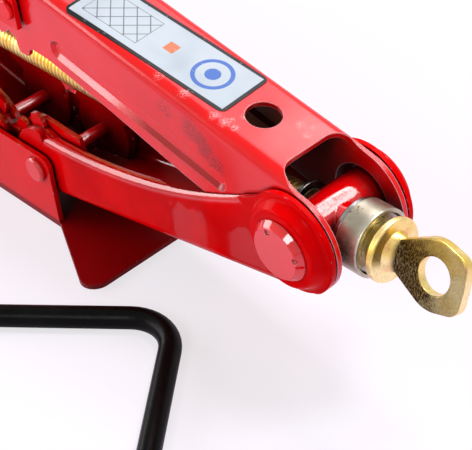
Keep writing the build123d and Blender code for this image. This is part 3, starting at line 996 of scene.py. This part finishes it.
@dataclass
class LeadScrew:
    """The threaded screw with its forged eye and the rings that hold it."""

    radius: float = 0.0063
    pitch: float = 0.00254
    depth: float = 0.00115
    cuts: int = 5
    crest_share: float = 0.2
    fillet_place: Span = (0.3, 0.4)
    fillet_rise: float = 0.12
    spare_turns: int = 3
    lead_in: float = 1.5
    steps: int = 18
    tail: float = -0.20865
    thread_end: float = 0.1716
    head: float = 0.21275
    height: float = 0.06930459
    chamfer: float = 0.0013
    touch: float = 0.00001
    smooth_angle: float = 38.0
    body: str = "screw"

    def rib(self) -> bpy.types.Object:
        """Shapes one pitch of the thread's outline, as a bent line above the X axis.

        Returns:
            The outline's object.
        """
        piece = Workbench.start("lead_screw_thread", self.pitch)
        Workbench.pick(piece, lambda place: place.y > 0)
        bpy.ops.mesh.delete(type="VERT")
        bpy.ops.mesh.select_all(action="SELECT")
        bpy.ops.mesh.subdivide(number_cuts=self.cuts)
        bpy.ops.transform.translate(value=(0, 0.5 * self.pitch, self.radius - self.depth))
        Workbench.pick(piece, lambda place: abs(place.x) < self.crest_share * self.pitch)
        bpy.ops.transform.translate(value=(0, 0, self.depth))
        inner, outer = (share * self.pitch for share in self.fillet_place)
        Workbench.pick(piece, lambda place: inner < abs(place.x) < outer)
        bpy.ops.transform.translate(value=(0, 0, self.fillet_rise * self.depth))
        bpy.ops.object.mode_set(mode="OBJECT")
        return piece

    def wind(self, piece: bpy.types.Object) -> None:
        """Winds the outline round the X axis into the whole thread.

        Args:
            piece: The outline's object.
        """
        turns = math.ceil((self.thread_end - self.tail) / self.pitch) + self.spare_turns
        winding = piece.modifiers.new("winding", "SCREW")
        winding.axis = "X"
        winding.angle = math.tau
        winding.screw_offset = self.pitch
        winding.iterations = turns
        winding.steps = winding.render_steps = self.steps
        bpy.ops.object.modifier_apply(modifier=winding.name)

    def trim(self, piece: bpy.types.Object) -> None:
        """Puts the thread in place, cuts its ends flat and draws out the plain journal.

        Args:
            piece: The wound thread.
        """
        bpy.ops.object.mode_set(mode="EDIT")
        bpy.ops.mesh.select_all(action="SELECT")
        bpy.ops.mesh.remove_doubles(threshold=self.touch)
        bpy.ops.mesh.normals_make_consistent(inside=False)
        lowest = min(vertex.co.x for vertex in piece.data.vertices)
        bpy.ops.transform.translate(value=(self.tail - self.lead_in * self.pitch - lowest, 0, self.height))
        for end, way in ((self.tail, -1.0), (self.thread_end, 1.0)):
            bpy.ops.mesh.select_all(action="SELECT")
            bpy.ops.mesh.bisect(
                plane_co=(end, 0, self.height), plane_no=(way, 0, 0), use_fill=True, clear_outer=True
            )
        Workbench.pick(piece, lambda place: place.x > self.thread_end - self.touch)
        bpy.ops.mesh.select_mode(type="FACE")
        bpy.ops.mesh.extrude_region_move(
            TRANSFORM_OT_translate={"value": (self.head - self.thread_end, 0, 0)}
        )
        Workbench.pick(piece, lambda place: place.x < self.tail + self.touch)
        bpy.ops.mesh.select_mode(type="FACE")
        bpy.ops.mesh.inset(thickness=self.chamfer, depth=0.0)
        bpy.ops.mesh.select_all(action="SELECT")
        bpy.ops.mesh.normals_make_consistent(inside=False)
        bpy.ops.object.mode_set(mode="OBJECT")
        bpy.ops.object.shade_smooth_by_angle(angle=math.radians(self.smooth_angle))

    def build(self) -> None:
        """Makes the thread and dresses the pieces on the screw."""
        piece = self.rib()
        self.wind(piece)
        self.trim(piece)
        piece.data.materials.append(Finish.GOLD.material())
        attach(piece, self.body)
        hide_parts("lead_screw")
        LOG.info("%s: %d faces", piece.name, len(piece.data.polygons))
        dress("screw_eye", Finish.FORGED)
        dress("retaining_ring", Finish.STEEL)
        dress("screw_stop_ring", Finish.STEEL)


@dataclass
class BaseStand:
    """The pressed base and the two pins that the lower arms turn on."""

    plate: str = "base_plate"
    pins: tuple[str, ...] = ("base_pin_right", "base_pin_left")

    def build(self) -> None:
        """Dresses the pieces."""
        dress(self.plate, Finish.RED_FOOT)
        for name in self.pins:
            dress(name, Finish.RED_TURNED)


@dataclass
class ScissorArms:
    """The four pressed arms and the sticker on the right upper one."""

    lower: tuple[str, ...] = ("lower_arm_right", "lower_arm_left")
    upper: tuple[str, ...] = ("upper_arm_right", "upper_arm_left")
    sticker: str = "label_sticker"

    def build(self) -> None:
        """Dresses the pieces."""
        for name in self.lower:
            dress(name, Finish.RED_LOWER)
        for name in self.upper:
            dress(name, Finish.RED_UPPER)
        dress(self.sticker, Finish.LABEL)


@dataclass
class ScrewJoints:
    """The two trunnions that the screw passes through, and the thrust bearing."""

    trunnions: tuple[str, ...] = ("thrust_trunnion", "nut_trunnion")
    washer: str = "thrust_washer"
    cup: str = "bearing_cup"
    running: tuple[str, ...] = ("bearing_balls", "bearing_race")

    def build(self) -> None:
        """Dresses the pieces."""
        for name in self.trunnions:
            dress(name, Finish.RED_TURNED)
        dress(self.washer, Finish.STEEL)
        dress(self.cup, Finish.SILVER)
        for name in self.running:
            dress(name, Finish.STEEL)


@dataclass
class SaddleTop:
    """The load saddle and the two pins that the upper arms turn on."""

    pieces: tuple[str, ...] = ("saddle", "saddle_pin_right", "saddle_pin_left")

    def build(self) -> None:
        """Dresses the pieces."""
        for name in self.pieces:
            dress(name, Finish.RED)


@dataclass
class CrankHandle:
    """The loose crank that lies on the floor."""

    piece: str = "crank_handle"

    def build(self) -> None:
        """Dresses the crank."""
        dress(self.piece, Finish.BLACK)


@dataclass
class StudioCamera:
    """The camera, from where the trunnion's centre falls in a picture of a given size."""

    azimuth: float = 52.06
    elevation: float = 38.46
    roll: float = -7.82
    distance: float = 0.60212
    focal_pixels: float = 1615.1
    picture: tuple[int, int] = (472, 450)
    target: Triple = (0.18335, 0.0, 0.0693)
    target_pixel: tuple[float, float] = (331.0, 215.6)
    sensor: float = 36.0
    nearest: float = 0.01

    def axes(self) -> tuple[Vector, Vector, Vector]:
        """Works out how the camera is turned.

        Returns:
            Its right, up and back directions.
        """
        angles = (self.azimuth, self.elevation, self.roll)
        azimuth, elevation, roll = (math.radians(angle) for angle in angles)
        level_back = Vector((math.sin(azimuth), -math.cos(azimuth), 0.0))
        back = math.cos(elevation) * level_back + Vector((0, 0, math.sin(elevation)))
        level = Vector((math.cos(azimuth), math.sin(azimuth), 0.0))
        rise = back.cross(level)
        right = math.cos(roll) * level + math.sin(roll) * rise
        above = -math.sin(roll) * level + math.cos(roll) * rise
        return right, above, back

    def build(self) -> None:
        """Adds the camera and makes it the scene's."""
        right, above, back = self.axes()
        step = self.distance / self.focal_pixels
        across = (self.target_pixel[0] - self.picture[0] / 2) * step
        down = (self.target_pixel[1] - self.picture[1] / 2) * step
        eye = Vector(self.target) + self.distance * back - across * right + down * above
        data = bpy.data.cameras.new("studio_camera")
        data.sensor_fit = "HORIZONTAL"
        data.sensor_width = self.sensor
        data.lens = self.focal_pixels / self.picture[0] * self.sensor
        data.clip_start = self.nearest
        camera = bpy.data.objects.new("studio_camera", data)
        turn = Matrix((right, above, back)).transposed().to_4x4()
        camera.matrix_world = Matrix.Translation(eye) @ turn
        bpy.context.scene.collection.objects.link(camera)
        bpy.context.scene.camera = camera


@dataclass(frozen=True)
class SoftBox:
    """One rectangular studio lamp that points at the jack."""

    name: str
    place: Triple
    size: tuple[float, float]
    power: float
    aim: Triple
    shade: Triple = (1.0, 1.0, 1.0)
    roll: float = 0.0

    def build(self) -> None:
        """Adds the lamp."""
        data = bpy.data.lights.new(self.name, "AREA")
        data.shape = "RECTANGLE"
        data.size, data.size_y = self.size
        data.energy = self.power
        data.color = self.shade
        lamp = bpy.data.objects.new(self.name, data)
        away = Vector(self.place) - Vector(self.aim)
        rolled = Quaternion((0.0, 0.0, 1.0), math.radians(self.roll))
        lamp.rotation_euler = (away.to_track_quat("Z", "Y") @ rolled).to_euler()
        lamp.location = self.place
        bpy.context.scene.collection.objects.link(lamp)


WINDOW_SIZE = (1.0, 0.078)
WINDOW_AIM = (0.19, 0.0, 0.078)


@dataclass
class Studio:
    """The white floor, the faint surround and the soft lamps."""

    floor_side: float = 6.0
    floor_white: Colour = colour(0.9, 0.79, 1.0)
    floor_glow: Colour = colour(1.0, 1.0, 1.0)
    floor_share: float = 0.68
    floor_middle: Triple = (0.1, -0.05, 0.0)
    floor_fade: tuple[float, float] = (0.22, 0.6)
    floor_mirror_share: float = 0.25
    surround_tint: Colour = colour(0.92, 0.84, 1.0)
    surround_level: float = 0.14
    backdrop_white: Colour = colour(1.0, 1.0, 1.0)
    backdrop_level: float = 1.0
    surround_mirror_share: float = 0.77
    lamps: tuple[SoftBox, ...] = (
        SoftBox("window_near", (0.416, 0.541, 1.003), WINDOW_SIZE, 2.6, WINDOW_AIM, roll=19.6),
        SoftBox("window_far", (0.25, 0.627, 0.98), WINDOW_SIZE, 2.6, WINDOW_AIM, roll=4.6),
        SoftBox("key", (0.47, 0.40, 1.33), (0.35, 0.35), 9.0, (0.12, 0.0, 0.05)),
        SoftBox("ceiling", (-0.40, 0.79, 1.26), (0.8, 0.8), 5.0, (0.12, 0.0, 0.1), (1.0, 0.9, 1.0)),
        SoftBox("side", (-0.76, -0.45, 0.4), (1.1, 0.4), 8.0, (0.12, -0.02, 0.07)),
        SoftBox("front", (0.5, -0.92, 0.82), (0.34, 0.34), 4.5, (0.19, -0.03, 0.079)),
    )

    def floor(self) -> None:
        """Adds the floor, which is near white to the camera and darker in shade."""
        bpy.ops.object.select_all(action="DESELECT")
        bpy.ops.mesh.primitive_plane_add(size=self.floor_side, location=(0, 0, 0))
        floor = bpy.context.object
        floor.name = "studio_floor"
        graph = Graph.of_material("studio_floor")
        light = graph.node("ShaderNodeBsdfDiffuse", {}, {"Color": self.floor_white}, "BSDF")
        white = {"Color": self.floor_glow, "Strength": 1.0}
        glow = graph.node("ShaderNodeEmission", {}, white, "Emission")
        far = graph.away_from(self.floor_middle).smooth(*self.floor_fade)
        share = graph.lit_share(self.floor_share, self.floor_mirror_share)
        share = share.most(graph.ray("Camera") * far)
        shown = graph.node("ShaderNodeMixShader", {}, {0: share, 1: light, 2: glow})
        floor.data.materials.append(graph.close(shown))

    def surround(self) -> None:
        """Adds a faint light from all round that looks white to the camera and pale in reflections."""
        world = bpy.data.worlds.new("studio_surround")
        graph = Graph(world)
        looks = (
            (self.surround_tint, self.surround_level),
            (self.backdrop_white, self.backdrop_level),
        )
        faint, bright = (
            graph.node("ShaderNodeBackground", {}, {"Color": tint, "Strength": level}, "Background")
            for tint, level in looks
        )
        seen = graph.lit_share(1.0, self.surround_mirror_share)
        graph.close(graph.node("ShaderNodeMixShader", {}, {0: seen, 1: faint, 2: bright}))
        bpy.context.scene.world = world

    def build(self) -> None:
        """Sets the stage."""
        self.floor()
        self.surround()
        for lamp in self.lamps:
            lamp.build()
        bpy.context.scene.view_settings.view_transform = "Standard"


def main() -> None:
    """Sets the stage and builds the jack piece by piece."""
    logging.basicConfig(level=logging.INFO, format="%(message)s")
    StudioCamera().build()
    Studio().build()
    jack = (BaseStand(), ScissorArms(), ScrewJoints(), LeadScrew(), SaddleTop(), CrankHandle())
    for assembly in jack:
        LOG.info(assembly.__class__.__name__)
        assembly.build()


if __name__ == "__main__":
    main()
